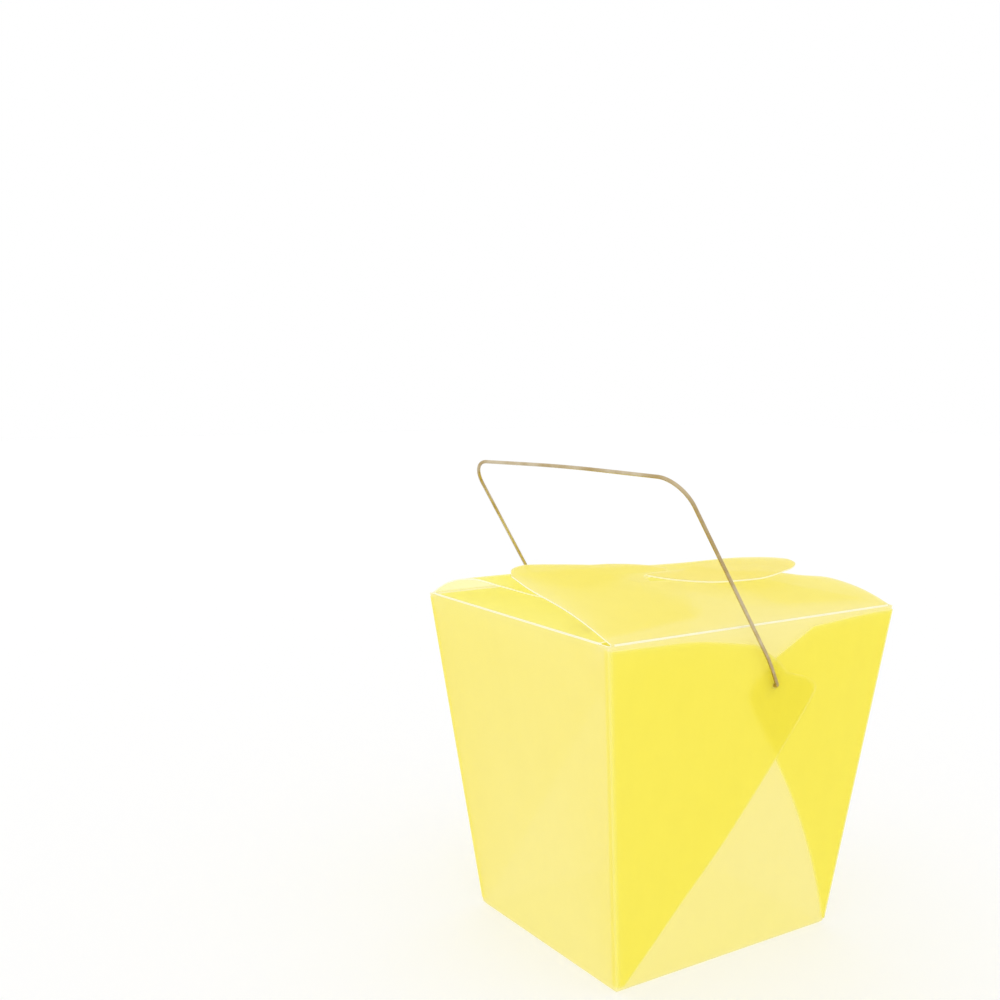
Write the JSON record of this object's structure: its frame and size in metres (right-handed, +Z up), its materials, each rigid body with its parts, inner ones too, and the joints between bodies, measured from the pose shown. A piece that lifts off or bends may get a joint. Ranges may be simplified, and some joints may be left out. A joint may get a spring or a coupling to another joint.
{
  "type": "noodle takeaway box",
  "caption": "tapered takeaway box folded from frosted translucent yellow plastic, shut by wave-edged lid flaps, with a swinging steel wire handle",
  "frame": {"origin": "middle of the flat underside of the box's bottom panel", "axes": "+Z runs up from the underside to the lid; +X runs along the two wide sides that carry the wire handle, from the left end to the right end; +Y runs from one handle side to the other"},
  "size_m": [0.11, 0.0976, 0.1446],
  "materials": {
    "frosted_plastic": "fine frosted, light passes through",
    "steel_wire": "bright drawn wire"
  },
  "bodies": {
    "carton": {"carton": "frosted_plastic"},
    "handle": {"wire_handle": "steel_wire"}
  },
  "joints": [
    {"name": "handle_swing", "type": "hinge", "parent": "carton", "child": "handle", "pos_m": [0.0059, 0, 0.0831], "axis": [0, 1, 0], "range_deg": [-98, 180]}
  ]
}
